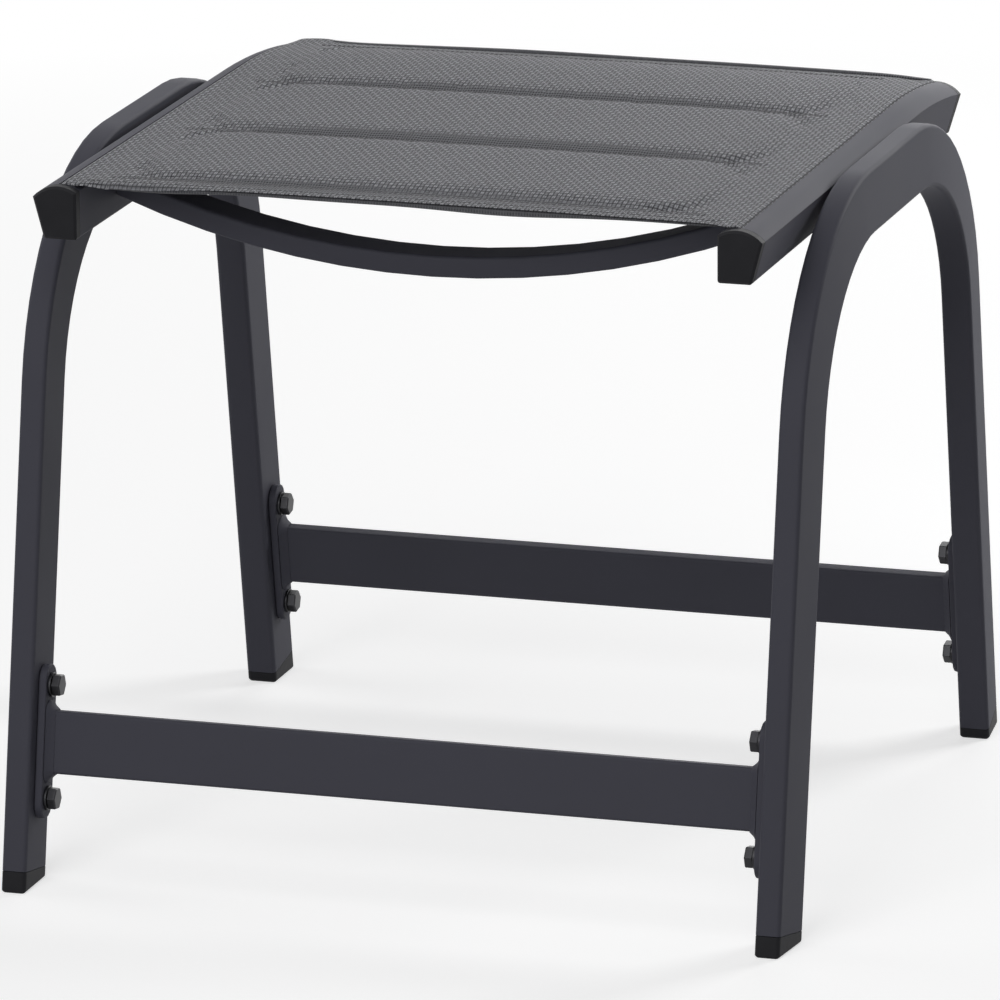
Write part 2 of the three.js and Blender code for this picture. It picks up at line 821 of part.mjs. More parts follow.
const sideNames = new Map([[-1, 'left'], [1, 'right']]);
const endNames = new Map([[-1, 'front'], [1, 'rear']]);
const levelNames = new Map([[-1, 'lower'], [1, 'upper']]);

// Pieces at one end of one side
function cornerPieces(side, end) {
  const corner = `${endNames.get(end)}_${sideNames.get(side)}`;
  const pieces = [
    piece(`foot_cap_${corner}`, footCap(side, end), blackPlastic),
    piece(`rail_end_cap_${corner}`, railEndCap(side, end), blackPlastic),
    piece(`stretcher_plate_${corner}`, stretcherPlate(side, end), frameColour),
    piece(`weld_bead_${corner}`, weldBead(side, end), frameColour),
    piece(`rail_spacer_${corner}`, railSpacer(side, end), blackPlastic),
    piece(`rail_bolt_${corner}`, railBolt(side, end), steelColour),
  ];
  for (const [up, level] of levelNames) {
    pieces.push(
      piece(`plate_bolt_${corner}_${level}`, plateBolt(side, end, up), darkSteel),
      piece(`plate_washer_${corner}_${level}`, plateWasher(side, end, up), darkSteel),
      piece(`leg_nut_${corner}_${level}`, legNut(side, end, up), steelColour),
    );
  }
  return pieces;
}

function footstool() {
  const stool = new THREE.Group();
  stool.name = 'outdoor_footstool';
  for (const [side, sideName] of sideNames) {
    stool.add(piece(`side_frame_${sideName}`, sideFrame(side), frameColour));
    stool.add(piece(`seat_rail_${sideName}`, seatRail(side), frameColour));
    stool.add(piece(`keder_rod_${sideName}`, kederRod(side), rodColour));
    for (const end of endNames.keys()) {
      stool.add(...cornerPieces(side, end));
    }
  }
  for (const [end, endName] of endNames) {
    stool.add(piece(`${endName}_stretcher`, stretcher(end), frameColour));
    stool.add(piece(`${endName}_bow_bar`, bowBar(end), frameColour));
  }
  stool.add(piece('padded_sling', paddedSling(), fabricColour));
  return stool;
}

export default footstool();
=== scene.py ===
# %% [markdown]
# Outdoor footstool with a padded fabric seat
# The metal frame arrives as a finished model in metres. This script gives each piece its finish, rebuilds
# the seat as sewn and padded cloth, and sets up a plain studio with a long lens.

# %% Load the frame
import json
import math
import bmesh
import bpy
from mathutils import Matrix, Vector


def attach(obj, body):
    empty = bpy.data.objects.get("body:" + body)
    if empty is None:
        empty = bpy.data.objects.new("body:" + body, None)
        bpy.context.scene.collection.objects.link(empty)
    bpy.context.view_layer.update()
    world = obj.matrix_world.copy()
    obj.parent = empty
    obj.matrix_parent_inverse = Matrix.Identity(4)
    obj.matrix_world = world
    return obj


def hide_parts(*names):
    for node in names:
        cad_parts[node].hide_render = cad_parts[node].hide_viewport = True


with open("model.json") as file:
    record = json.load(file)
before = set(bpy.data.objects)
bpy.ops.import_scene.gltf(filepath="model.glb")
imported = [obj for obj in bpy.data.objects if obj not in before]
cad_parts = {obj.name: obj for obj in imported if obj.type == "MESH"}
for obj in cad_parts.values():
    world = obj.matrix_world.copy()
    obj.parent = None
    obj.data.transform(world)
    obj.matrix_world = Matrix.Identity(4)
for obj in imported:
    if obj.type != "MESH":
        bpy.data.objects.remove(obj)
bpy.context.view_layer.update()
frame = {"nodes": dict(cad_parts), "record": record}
print("pieces in the frame:", len(frame["nodes"]))

# %% [markdown]
# Shader sums as plain Python
# Node trees for paint or cloth are mostly arithmetic. A small class wraps one output socket and turns
# plus, minus, times and divide into Math nodes, so a pattern reads like a formula.

# %% Wrap a socket so that it takes part in sums
class Wire:
    def __init__(self, finish, socket):
        self.finish = finish
        self.socket = socket

    def __add__(self, other):
        return self.finish.maths("ADD", self, other)

    def __radd__(self, other):
        return self.finish.maths("ADD", other, self)

    def __sub__(self, other):
        return self.finish.maths("SUBTRACT", self, other)

    def __rsub__(self, other):
        return self.finish.maths("SUBTRACT", other, self)

    def __mul__(self, other):
        return self.finish.maths("MULTIPLY", self, other)

    def __rmul__(self, other):
        return self.finish.maths("MULTIPLY", other, self)

    def __truediv__(self, other):
        return self.finish.maths("DIVIDE", self, other)

    def __rtruediv__(self, other):
        return self.finish.maths("DIVIDE", other, self)

    def sine(self):
        return self.finish.maths("SINE", self)

    def size(self):
        return self.finish.maths("ABSOLUTE", self)

    def power(self, exponent):
        return self.finish.maths("POWER", self, exponent)

    def clipped(self):
        return self.finish.node("ShaderNodeClamp", {}, {"Value": self}).wire("Result")


# %% [markdown]
# One maker of nodes
# Every other node comes from one method. It sets the node's own settings first, because they decide
# which sockets exist, and then fills or links the sockets. A material and the world around the object
# both own a node tree, so the same class serves both.

# %% A finish is a node tree with its owner
class Made:
    def __init__(self, finish, node):
        self.finish = finish
        self.node = node

    def wire(self, name):
        return Wire(self.finish, self.node.outputs[name])


class Finish:
    def __init__(self, owner):
        owner.use_nodes = True
        self.owner = owner
        self.tree = owner.node_tree
        self.tree.nodes.clear()

    def node(self, kind, settings, inputs):
        node = self.tree.nodes.new(kind)
        for key, value in settings.items():
            setattr(node, key, value)
        for key, value in inputs.items():
            if isinstance(value, Wire):
                self.tree.links.new(value.socket, node.inputs[key])
            else:
                node.inputs[key].default_value = value
        return Made(self, node)

    def maths(self, operation, *values):
        made = self.node("ShaderNodeMath", {"operation": operation}, dict(enumerate(values)))
        return made.wire("Value")

    def coordinates(self, name):
        return self.node("ShaderNodeTexCoord", {}, {}).wire(name)

    def parted(self, place):
        return self.node("ShaderNodeSeparateXYZ", {}, {"Vector": place})

    def noise(self, place, scale, detail=2.0, roughness=0.5):
        inputs = {"Vector": place, "Scale": scale, "Detail": detail, "Roughness": roughness}
        return self.node("ShaderNodeTexNoise", {}, inputs).wire("Fac")

    def blend(self, share, first, second):
        made = self.node("ShaderNodeMix", {"data_type": "RGBA"}, {0: share, 6: first, 7: second})
        return made.wire(2)

    def bump(self, height, distance, strength):
        inputs = {"Height": height, "Distance": distance, "Strength": strength}
        return self.node("ShaderNodeBump", {}, inputs).wire("Normal")

    def either(self, share, first, second):
        return self.node("ShaderNodeMixShader", {}, {0: share, 1: first, 2: second}).wire("Shader")

    def surface(self, **inputs):
        named = {key.replace("_", " "): value for key, value in inputs.items()}
        shader = self.node("ShaderNodeBsdfPrincipled", {}, named).wire("BSDF")
        self.node("ShaderNodeOutputMaterial", {}, {"Surface": shader})
        print("finish", self.owner.name, "has", len(self.tree.nodes), "nodes")
        return self.owner


def new_finish(name):
    return Finish(bpy.data.materials.new(name))


# %% [markdown]
# Powder coat on aluminium
# The frame has a satin anthracite powder coat. Powder flows out into a fine orange peel about a
# millimetre across, with tiny specks and a slow change of tone along each bar. Three noises of
# different sizes give all of that, and a flat colour would look like plastic.

# %% Anthracite powder coat
COAT_DARK = (0.050, 0.050, 0.064, 1)
COAT_LIGHT = (0.071, 0.071, 0.091, 1)


def powder_coat():
    finish = new_finish("anthracite_powder_coat")
    place = finish.coordinates("Object")
    peel = finish.noise(place, scale=850)
    speck = finish.noise(place, scale=3600, detail=1.0)
    drift = finish.noise(place, scale=14)
    tone = (drift * 0.6 + speck * 0.4).clipped()
    return finish.surface(
        Base_Color=finish.blend(tone, COAT_DARK, COAT_LIGHT),
        Roughness=0.54 + drift * 0.12 + speck * 0.06,
        Specular_IOR_Level=0.2,
        Normal=finish.bump(peel * 0.7 + speck * 0.3, distance=0.00006, strength=0.5),
    )


coat = powder_coat()

# %% [markdown]
# Black moulded plastic
# Foot caps, rail ends and spacers are moulded in black with a fine spark-eroded grain. The grain is a
# fine noise in height and in roughness, and the colour stays almost even.

# %% Black plastic
BLACK_DARK = (0.012, 0.012, 0.014, 1)
BLACK_LIGHT = (0.021, 0.021, 0.024, 1)


def black_moulding():
    finish = new_finish("black_moulding")
    place = finish.coordinates("Object")
    grain = finish.noise(place, scale=2400, roughness=0.6)
    cloud = finish.noise(place, scale=60)
    return finish.surface(
        Base_Color=finish.blend(cloud, BLACK_DARK, BLACK_LIGHT),
        Roughness=0.46 + grain * 0.16,
        Specular_IOR_Level=0.12,
        Normal=finish.bump(grain, distance=0.00005, strength=0.5),
    )


plastic = black_moulding()

# %% [markdown]
# Bolts, nuts and washers
# The bolts are dark plated steel. Plating is never quite even, so a noise moves both the tone and the
# roughness. The hidden nuts and rail bolts are zinc plated and paler, so one function makes both.

# %% Plated steel in two tones
def plated(name, dark, light, rough):
    finish = new_finish(name)
    place = finish.coordinates("Object")
    patch = finish.noise(place, scale=260, detail=3.0)
    turning = finish.noise(place, scale=1800, detail=1.0)
    return finish.surface(
        Base_Color=finish.blend(patch, dark, light),
        Metallic=0.75,
        Roughness=rough + patch * 0.14,
        Normal=finish.bump(turning, distance=0.00003, strength=0.4),
    )


dark_bolts = plated("dark_plated_steel", (0.016, 0.016, 0.018, 1), (0.040, 0.040, 0.044, 1), 0.30)
zinc = plated("zinc_plated_steel", (0.38, 0.38, 0.39, 1), (0.56, 0.56, 0.58, 1), 0.26)

# %% [markdown]
# Rod and thread
# A pale plastic rod locks the cloth in each rail, and dark thread sews it. Both are drawn or twisted
# strands, so a noise that streaks their tone and roughness is enough at their small size.

# %% Drawn rod and twisted thread
def strand(name, scale, dark, light, rough, change):
    finish = new_finish(name)
    streak = finish.noise(finish.coordinates("Object"), scale=scale)
    return finish.surface(
        Base_Color=finish.blend(streak, dark, light),
        Roughness=rough + streak * change,
    )


rod = strand("rod_plastic", 180, (0.52, 0.52, 0.49, 1), (0.64, 0.64, 0.61, 1), 0.4, 0.1)
thread = strand("sewing_thread", 1500, (0.055, 0.055, 0.06, 1), (0.12, 0.12, 0.125, 1), 0.6, 0.2)

# %% [markdown]
# Outdoor weave
# The seat cloth is a basket weave: two pale warp yarns pass over two darker weft yarns, and the cells
# alternate like a chessboard. The product of two sines is positive where the warp lies on top. Finer sines
# split each cell into its yarns. One set of formulas gives both the colour and the height, and the colour
# keeps the yarn crowns light and paints shade on their sides and in the gaps between them. The pattern
# follows the cloth's own UV map, in tenths of a metre, so that it stays straight on the swollen panels.

# %% Yarns of the open weave
COLUMN = 0.00286
ROW = 0.00467
MAP_SCALE = 10
WARP = (0.54, 0.546, 0.58, 1)
WEFT = (0.33, 0.335, 0.358, 1)
# The colour between the yarns is painted shade in the gaps of the weave.
SHADE_BETWEEN_YARNS = (0.016, 0.016, 0.020, 1)


def open_weave(across, along, slub):
    column_wave = across.sine()
    row_wave = along.sine()
    warp_line = (across * 2).sine().size()
    weft_line = (along * 2).sine().size()
    warp_on_top = (column_wave * row_wave * 3.2 + 0.5 + slub * 2.4).clipped()
    warp_yarns = warp_line.power(0.9) * row_wave.size().power(0.5)
    weft_yarns = weft_line.power(0.9) * column_wave.size().power(0.5)
    yarns = warp_yarns * warp_on_top + weft_yarns * (1 - warp_on_top)
    # This share darkens the yarns' sides and the gaps between them, as painted shade, and also shapes the
    # bump.
    gap_shade_and_depth = column_wave.size().power(0.7) * row_wave.size().power(0.5)
    cells = column_wave * row_wave * 0.5 + 0.5
    return warp_on_top, yarns, gap_shade_and_depth, cells


# %% [markdown]
# Pressed and shaded weave
# Where sewing presses the cloth flat, the yarns close up into rows of short dark dashes, and where a fold
# is ironed flat, even these almost vanish. The pressed cloth is also given a darker tone, which is painted
# shade: along the seams it stands for the shade on the foam's slope, and on the folds for the shade on
# their faces. An attribute on the cloth goes from 0 to 1 for the first and on to 2 for the second, and the
# dashes fade where the pressing does. Mixing the two patterns by it keeps one material for the whole seat.

# %% Basket weave in two greys, with painted shade
def outdoor_weave(name):
    finish = new_finish(name)
    parts = finish.parted(finish.coordinates("UV"))
    place = finish.coordinates("Object")
    wander = finish.noise(place, scale=70) - 0.5
    slub = finish.noise(place, scale=330, detail=3.0, roughness=0.7) - 0.5
    pressed_and_shaded = finish.node("ShaderNodeAttribute", {"attribute_name": "pressed_and_shaded"}, {}).wire("Fac")
    # Pressed cloth takes the closed tone, which is darker: painted shade along the seams and on the folds,
    # with the real pressed dashes.
    flat = (pressed_and_shaded * 1.3).clipped()
    plain = (pressed_and_shaded - 1).clipped()
    across = parts.wire("X") * (math.pi / MAP_SCALE / COLUMN) + wander * 0.8
    along = parts.wire("Y") * (math.pi / MAP_SCALE / ROW) + wander * 0.8
    warp_on_top, yarns, gap_shade_and_depth, cells = open_weave(across, along, slub)
    # Yarn crowns stay light and their sides fall to the gap colour: painted shade on the round yarns.
    yarn_crown_shading = (yarns * 1.65 + slub * 2.6).clipped() * gap_shade_and_depth
    dashes = 0.5 - (across * 1.6).sine().size() * (along * 1.7).sine().size() * 1.25
    closed = (0.55 + dashes * flat * (1 - plain) + slub * 0.5).clipped() * 0.45 + 0.02
    yarn_shading_share = yarn_crown_shading * (1 - flat) + closed * flat
    height = (yarns * 0.5 + cells * (1 - flat * 0.9) * 0.5) * gap_shade_and_depth
    yarn = finish.blend((warp_on_top * (1 - flat) + flat * 0.5).clipped(), WEFT, WARP)
    return finish.surface(
        Base_Color=finish.blend(yarn_shading_share.clipped(), SHADE_BETWEEN_YARNS, yarn),
        Roughness=0.82 + slub * 0.12,
        Specular_IOR_Level=0.25,
        Sheen_Weight=0.1,
        Sheen_Roughness=0.5,
        Normal=finish.bump(height * (1 - flat * 0.6) + slub * 0.25, distance=0.0006, strength=1.0),
    )


weave = outdoor_weave("outdoor_weave")

# %% [markdown]
# From a worked shape to an object
# Every new piece ends the same way: the bmesh becomes a mesh with a finish, and the object that carries it
# is linked at the origin. One helper does that for all of them.

# %% Make the object
def made_object(name, shape, finish):
    mesh = bpy.data.meshes.new(name)
    shape.to_mesh(mesh)
    shape.free()
    mesh.shade_smooth()
    mesh.materials.append(finish)
    piece = bpy.data.objects.new(name, mesh)
    bpy.context.scene.collection.objects.link(piece)
    return piece


# %% [markdown]
# Rigid pieces with soft edges
# The frame's solids have the right shape, but every real edge is slightly round and catches a line of
# light. A merged copy of each solid gets its hard edges bevelled and its flat faces kept flat by weighted
# normals, and then stands in for the solid.

# %% Bevelled copy of a solid
SAME_POINT = 0.000004
SAME_PLANE = math.radians(0.5)
HARD_EDGE = math.radians(38)
SHARP_LOOK = math.radians(46)


def softened(node, finish, edge):
    copy = bmesh.new()
    copy.from_mesh(frame["nodes"][node].data)
    bmesh.ops.remove_doubles(copy, verts=copy.verts, dist=SAME_POINT)
    bmesh.ops.dissolve_limit(copy, angle_limit=SAME_PLANE, verts=copy.verts, edges=copy.edges)
    hard_edges = [e for e in copy.edges if e.is_manifold and e.calc_face_angle(0) > HARD_EDGE]
    if hard_edges:
        bmesh.ops.bevel(
            copy, geom=hard_edges, offset=edge, affect="EDGES", segments=2, profile=0.5,
            material=-1, clamp_overlap=True)
    piece = made_object("soft_" + node, copy, finish)
    piece.data.set_sharp_from_angle(angle=SHARP_LOOK)
    modifier = piece.modifiers.new("flat_faces", "WEIGHTED_NORMAL")
    modifier.keep_sharp = True
    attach(piece, "root")
    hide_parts(node)
    return piece


# %% [markdown]
# Finishes by slot
# The record names a material slot for each solid, so a small table is enough to share out the finishes
# and the edge radii. The side frames are bent tube and have rounder edges than the other metal. The rods
# and the hidden steel keep their solids as they are and only get their finish.

# %% Share the finishes out by slot
SLOT_FINISH = {
    "frame": coat, "black_plastic": plastic, "dark_steel": dark_bolts, "steel": zinc, "rod": rod,
}
SLOT_EDGE = {"frame": 0.0004, "black_plastic": 0.0010, "dark_steel": 0.0003}
SIDE_FRAME_EDGE = 0.0012


def finish_solid(node, slot_name):
    finish = SLOT_FINISH[slot_name]
    if slot_name in SLOT_EDGE:
        edge = SIDE_FRAME_EDGE if node.startswith("side_frame") else SLOT_EDGE[slot_name]
        piece = softened(node, finish, edge)
    else:
        data = frame["nodes"][node].data
        data.materials.clear()
        data.materials.append(finish)


rigid = [entry for entry in frame["record"]["subparts"] if entry["node"] != "padded_sling"]
for entry in rigid:
    finish_solid(entry["node"], entry["material_slot"])
print("rigid pieces finished:", len(rigid))

# %% [markdown]
# The seat's lie
# The cloth is stretched between two rails. They run straight at the front and bend down at the rear, so a
# point of the seat is given by its sideways place, its distance along the rail and its lift off the cloth.

# %% Places on the stretched seat
RAIL_TOP = 0.4515
BEND_START = 0.120
BEND_RADIUS = 0.700
SLOT_X = 0.2186
REACH = 0.2314
CLOTH = 0.0017
PAD_HALF = 0.188


def on_rail(x, along, drop):
    if along <= BEND_START:
        return Vector((x, along, RAIL_TOP + drop))
    angle = (along - BEND_START) / BEND_RADIUS
    radius = BEND_RADIUS + drop
    y = BEND_START + radius * math.sin(angle)
    return Vector((x, y, RAIL_TOP - BEND_RADIUS + radius * math.cos(angle)))


# %% [markdown]
# What the cloth does by itself
# New cloth isn't quite even. It arches a little between the rails, its front edge curls down near the left
# rail, and the rear left corner holds the bulk of a folded corner. Bell curves across the seat describe
# these, because they start and end without a kink.

# %% Smooth steps and bells
def part_way(value, start, length):
    return min(max((value - start) / length, 0), 1)


def bell(x, middle, width):
    return math.exp(-((x - middle) / width) ** 2)


def step_down(x, middle, width):
    return 1 / (1 + math.exp((x - middle) / width))


# %% Lift of the cloth at a place
ARCH = 0.0015
CURL_REACH = 0.0060
CURL_DROP = 0.0032
CURL_PLACE = (-0.168, 0.034)
CORNER_DROP = 0.0016
CORNER_PLACE = (-0.192, 0.006)
BULK = 0.0032
BULK_PLACE = (-0.205, 0.018)
BULK_START = 0.203
BULK_LENGTH = 0.028
BULK_POWER = 1.5
RAIL_HOLD = 0.0045


def towards_front(along):
    return part_way(-along, REACH - CURL_REACH, CURL_REACH)


def rise_at(x, along):
    arch = ARCH * (1 - min(abs(x) / SLOT_X, 1) ** 2)
    off_rail = part_way(SLOT_X - abs(x), 0, RAIL_HOLD)
    towards_rear = part_way(along, BULK_START, BULK_LENGTH)
    bulk = BULK * bell(x, *BULK_PLACE) * off_rail * towards_rear ** BULK_POWER
    curl = CURL_DROP * bell(x, *CURL_PLACE) + CORNER_DROP * bell(x, *CORNER_PLACE)
    return arch + bulk - curl * towards_front(along) ** 2


print("the cloth arches by", round(rise_at(0, 0) * 1000, 1), "mm in the middle")

# %% [markdown]
# Rows and columns of the cloth
# Two straight seams across the seat part the padding into three panels, and a line of sewing closes it at
# the front and at the rear. Three close rows make a sewn line, and they stay held while the panels between
# them swell. The rows lie closer near a seam, where the cloth curves most.

# %% Rows from front to rear
SEAMS = (-0.212, -0.073, 0.069, 0.205)
SEAM_HALF = 0.0016
NEAR_SEAM = (0.0014, 0.003, 0.005, 0.0075, 0.0105)
HEM_STEPS = (0, 0.0006, 0.0016, 0.0026, 0.0034, 0.0042, 0.0052)
PANEL_STEP = 0.005
FRONT_STEP = 0.003
REAR_STEP = 0.004


def spaced(start, end, step):
    count = round((end - start) / step)
    return [start + (end - start) * k / count for k in range(1, count)]


def panel_rows(start, end):
    opening = [start + step for step in NEAR_SEAM]
    closing = [end - step for step in reversed(NEAR_SEAM)]
    return opening + spaced(opening[-1], closing[0], PANEL_STEP) + closing


def lay_rows():
    front = -REACH + HEM_STEPS[-1]
    rear = REACH - HEM_STEPS[-1]
    held = [-REACH + step for step in HEM_STEPS] + spaced(front, SEAMS[0] - SEAM_HALF, FRONT_STEP)
    held += [seam + offset for seam in SEAMS for offset in (-SEAM_HALF, 0, SEAM_HALF)]
    held += spaced(SEAMS[-1] + SEAM_HALF, rear, REAR_STEP) + [REACH - step for step in HEM_STEPS]
    free = []
    for start, end in zip(SEAMS, SEAMS[1:]):
        free += panel_rows(start + SEAM_HALF, end - SEAM_HALF)
    return sorted([(along, True) for along in held] + [(along, False) for along in free])


rows = lay_rows()
print("seat cloth has", len(rows), "rows")

# %% [markdown]
# From the middle to the rod pocket
# Each half of the seat is level over the padding, comes down to the rail, follows its crown, dives into
# the slot and turns round the rod. Every column is a sideways place, a lift off the rail's top and whether
# the foam may move it. The other half is its mirror image.

# %% Columns across the cloth
LIFT = 0.0013
PANEL_HALF = 0.178
PANEL_COLUMNS = 36
PANEL_EDGE = (0.1815, 0.1850)
BESIDE_FOAM = (PAD_HALF, 0.1898, 0.196)
RAIL_SHOULDER = (0.204, 0.0006)
OVER_RAIL = (0.2105, 0.2145)
RAIL_CROWN = 0.022
INTO_SLOT = ((0.2170, 0.00115), (0.2182, 0.0004), (SLOT_X, -0.0009), (SLOT_X, -0.0021))
ROD_MIDDLE = -0.0064
ROD_LOOP = 0.0031
ROD_TURN = (122, 150, 180, 210, 240, 270, 300, 330, 350)


def round_rod(degrees):
    angle = math.radians(degrees)
    return SLOT_X + ROD_LOOP * math.cos(angle), ROD_MIDDLE + ROD_LOOP * math.sin(angle)


def lay_columns():
    panel = [PANEL_HALF * k / PANEL_COLUMNS for k in range(PANEL_COLUMNS + 1)] + list(PANEL_EDGE)
    half = [(x, LIFT / 2, True) for x in panel]
    pocket = [(x, LIFT / 2) for x in BESIDE_FOAM] + [RAIL_SHOULDER]
    for x in OVER_RAIL:
        pocket.append((x, LIFT - (RAIL_CROWN - math.sqrt(RAIL_CROWN ** 2 - (SLOT_X - x) ** 2))))
    pocket += list(INTO_SLOT) + [round_rod(degrees) for degrees in ROD_TURN]
    half += [(x, drop, False) for x, drop in pocket]
    mirrored = [(-x, drop, free) for x, drop, free in reversed(half[1:])]
    return mirrored + half


def cut_lengths(columns):
    lengths = [0.0]
    for (x0, d0, _), (x1, d1, _) in zip(columns, columns[1:]):
        lengths.append(lengths[-1] + math.hypot(x1 - x0, d1 - d0))
    return lengths


columns = lay_columns()
lengths = cut_lengths(columns)
print("seat cloth has", len(columns), "columns and is", round(lengths[-1] * 1000), "mm wide when flat")

# %% [markdown]
# How tightly the sewing presses the cloth, and how much shade is painted there
# Beside a seam the cloth lies flat on the thread and the foam lifts it again further out. The same value
# paints the darker tone of painted shade beside each seam. Each seam has its own reach in front of it
# and behind it, which shrinks towards the seam's ends. Right of the middle the front seam presses less,
# and the curled front edge is creased as well and gets the same painted shade. The weave reads this value.

# %% Pressing and painted shade at a place on the seat
# These reaches also size the band of painted shade, a darker tone of the weave beside each seam.
PRESS_SHADE_BEFORE = (0.0115, 0.0040, 0.0040, 0.0040)
PRESS_SHADE_BEHIND = (0.0075, 0.0135, 0.0090, 0.0150)
PRESS_SHADE_END = 0.196
PRESS_SHADE_FADE = 0.110
PRESS_SHADE_SOFTENING = 1.6
FRONT_SEAM = 0
FRONT_RIGHT_PRESS_SHADE = 0.45
FRONT_TURN = (-0.025, 0.015)
CURL_PRESSED_SHADE = 0.6


def seam_press_and_shade(x, seam, narrowing):
    even = min(narrowing * PRESS_SHADE_SOFTENING, 1)
    if seam != FRONT_SEAM:
        return even
    return (FRONT_RIGHT_PRESS_SHADE + (1 - FRONT_RIGHT_PRESS_SHADE) * step_down(x, *FRONT_TURN)) * even


def pressed_and_shaded_at(x, along):
    narrowing = part_way(PRESS_SHADE_END - abs(x), 0, PRESS_SHADE_FADE)
    if narrowing == 0:
        return 0.0
    nearest = min(range(len(SEAMS)), key=lambda k: abs(along - SEAMS[k]))
    offset = along - SEAMS[nearest]
    reach = PRESS_SHADE_BEHIND[nearest] if offset > 0 else PRESS_SHADE_BEFORE[nearest]
    band = math.exp(-(offset / (reach * narrowing)) ** 4)
    # The curled front edge gets the darker pressed tone as well: painted shade on the curl.
    curled = CURL_PRESSED_SHADE * bell(x, *CURL_PLACE) * towards_front(along)
    return max(seam_press_and_shade(x, nearest, narrowing) * band, curled)


# %% [markdown]
# Cloth from a grid
# A flat grid has its points moved to the rows and columns, which keeps every face a neat quad. The
# lengths that the cloth was cut to are kept on every point for the weave, with how firmly it is pressed
# and how much painted shade it gets, and whether the foam may move it.

# %% Lay the grid on the rows and columns
def lay_grid():
    cloth = bmesh.new()
    bmesh.ops.create_grid(cloth, x_segments=len(columns) - 1, y_segments=len(rows) - 1, size=1)
    row, column = (cloth.verts.layers.int.new(name) for name in ("row", "column"))
    for vert in cloth.verts:
        vert[column] = round((vert.co.x + 1) / 2 * (len(columns) - 1))
        vert[row] = round((vert.co.y + 1) / 2 * (len(rows) - 1))
    return cloth


def place_cloth(cloth):
    names = ("cut_x", "cut_y", "free", "pressed_and_shaded")
    layers = {name: cloth.verts.layers.float.new(name) for name in names}
    row, column = (cloth.verts.layers.int[name] for name in ("row", "column"))
    for vert in cloth.verts:
        x, drop, free_column = columns[vert[column]]
        along, held_row = rows[vert[row]]
        vert.co = on_rail(x, along, drop + rise_at(x, along))
        vert[layers["cut_x"]] = lengths[vert[column]]
        vert[layers["cut_y"]] = along
        vert[layers["pressed_and_shaded"]] = pressed_and_shaded_at(x, along)
        vert[layers["free"]] = 1.0 if free_column and not held_row else 0.0


cloth = lay_grid()
place_cloth(cloth)
print("grid with", len(cloth.verts), "points")

# %% [markdown]
# Thickness and a fixed order
# Solidify turns the sheet into a thin closed bag. It can leave the edges and faces in another order on
# each run, and the simulation adds its forces up in that order, so tiny rounding errors would grow and
# no two seats would be quite alike. Sorting both makes every run come out the same.

# %% Give the cloth its thickness
def thicken(cloth):
    bmesh.ops.recalc_face_normals(cloth, faces=cloth.faces)
    if sum(face.normal.z for face in cloth.faces) < 0:
        bmesh.ops.reverse_faces(cloth, faces=cloth.faces)
    cloth.normal_update()
    for vert in cloth.verts:
        vert.co += vert.normal * CLOTH / 2
    bmesh.ops.solidify(cloth, geom=cloth.faces[:], thickness=CLOTH)
    cloth.verts.index_update()


def put_in_order(cloth):
    count = len(cloth.verts)
    for parts in (cloth.edges, cloth.faces):
        ends = {part: sorted(vert.index for vert in part.verts) for part in parts}
        parts.sort(key=lambda part: ends[part][0] * count + ends[part][-1])


thicken(cloth)
put_in_order(cloth)
print("closed bag with", len(cloth.verts), "points")

# %% [markdown]
# Thin edge and doubled cloth
# The bag's first points are its upper layer. At the front hem the lower layer rises to it, so that the edge
# is one cloth thick. Over the rails the upper layer comes down to the lower one, where no foam parts them.
# In the rail's slot the two layers move apart a little, as doubled cloth does.

# %% Thin front edge, and two layers in the slot
EDGE_CLOTH = 0.0005
EDGE_END = SLOT_X - 0.012
POCKET_CLOTH = 0.0010
POCKET_START = 0.196
POCKET_BLEND = 0.008
SLOT_SPREAD = 0.0004


def fit_edges(cloth):
    upper_count = len(rows) * len(columns)
    row, column = (cloth.verts.layers.int[name] for name in ("row", "column"))
    for vert in cloth.verts:
        upper = vert.index < upper_count
        x, drop, _ = columns[vert[column]]
        into_hem = (rows[vert[row]][0] + REACH) / HEM_STEPS[-1]
        if not upper and into_hem < 1 and abs(x) < EDGE_END:
            vert.co.z += (CLOTH - EDGE_CLOTH) * (1 - into_hem ** 2)
        if upper and drop > 0:
            vert.co.z -= (CLOTH - POCKET_CLOTH) * part_way(abs(x), POCKET_START, POCKET_BLEND)
        if abs(x) == SLOT_X and drop < 0:
            vert.co.x += math.copysign(SLOT_SPREAD, x) * (1 if upper else -1)


fit_edges(cloth)
print("cloth is", CLOTH * 1000, "mm thick, and", EDGE_CLOTH * 1000, "mm at its front edge")

# %% [markdown]
# The weave's map
# The cloth's own UV map comes from its cut lengths, so the weave runs straight and at one size however the
# cloth bends. The thin faces that close the bag at the front and at the rear would share one line of the
# map, so they carry on by their height.

# %% Write the weave's map and make the object
def map_weave(cloth):
    cut_x, cut_y = (cloth.verts.layers.float[name] for name in ("cut_x", "cut_y"))
    weave_map = cloth.loops.layers.uv.new("weave")
    row = cloth.verts.layers.int["row"]
    ends = {0: -1, len(rows) - 1: 1}
    for face in cloth.faces:
        face_rows = {vert[row] for vert in face.verts}
        outward = ends.get(face_rows.pop(), 0) if len(face_rows) == 1 else 0
        top = max(vert.co.z for vert in face.verts)
        for loop in face.loops:
            y = loop.vert[cut_y] + outward * (top - loop.vert.co.z)
            loop[weave_map].uv = (loop.vert[cut_x] * MAP_SCALE, y * MAP_SCALE)
    bmesh.ops.recalc_face_normals(cloth, faces=cloth.faces)


def read_cloth(cloth):
    free = cloth.verts.layers.float["free"]
    row, column = (cloth.verts.layers.int[name] for name in ("row", "column"))
    held_points = [vert.index for vert in cloth.verts if vert[free] <= 0.5]
    places = [(columns[vert[column]][0], rows[vert[row]][0]) for vert in cloth.verts]
    return held_points, places


